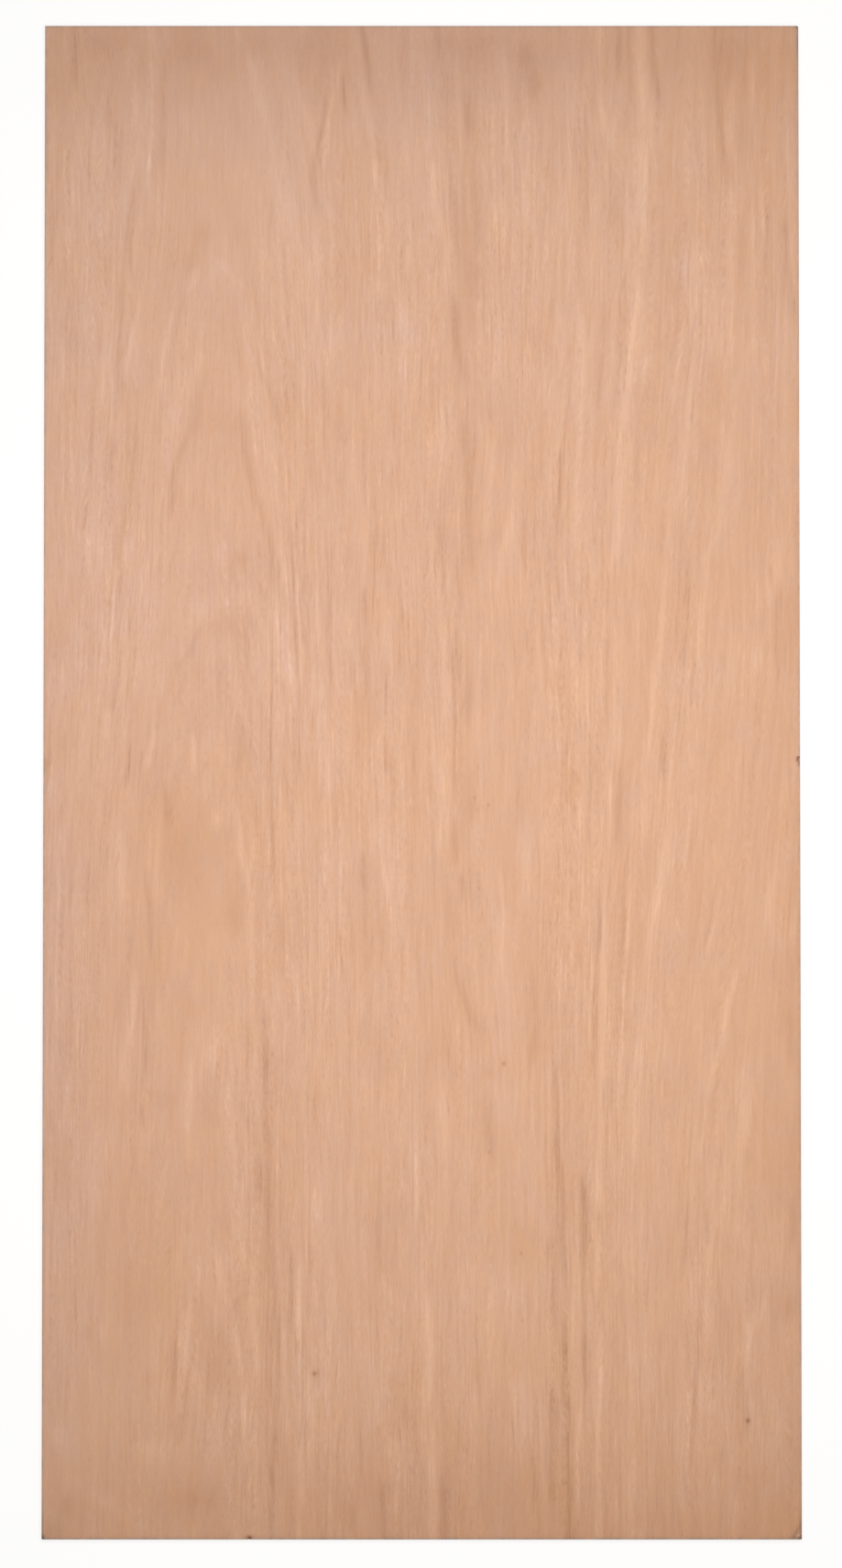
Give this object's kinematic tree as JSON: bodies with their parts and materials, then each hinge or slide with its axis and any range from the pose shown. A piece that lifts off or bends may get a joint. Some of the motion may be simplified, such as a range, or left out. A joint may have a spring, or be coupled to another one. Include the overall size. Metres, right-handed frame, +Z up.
{
  "type": "plywood sheet",
  "caption": "Full 8 by 4 ft sheet of hardwood-faced plywood, lying flat, with the face grain along its length, eased arrises and small handling chips at its edges.",
  "frame": {"origin": "middle of the underside, on the surface the sheet lies on", "axes": "+Z up through the thickness, out of the better face; +Y along the length and the face grain; +X across the sheet"},
  "size_m": [1.22, 2.44, 0.018],
  "materials": {
    "plywood": "sanded, unfinished pinkish tan rotary-cut hardwood veneer"
  },
  "bodies": {
    "root": {"plywood_sheet": "plywood"}
  },
  "joints": []
}
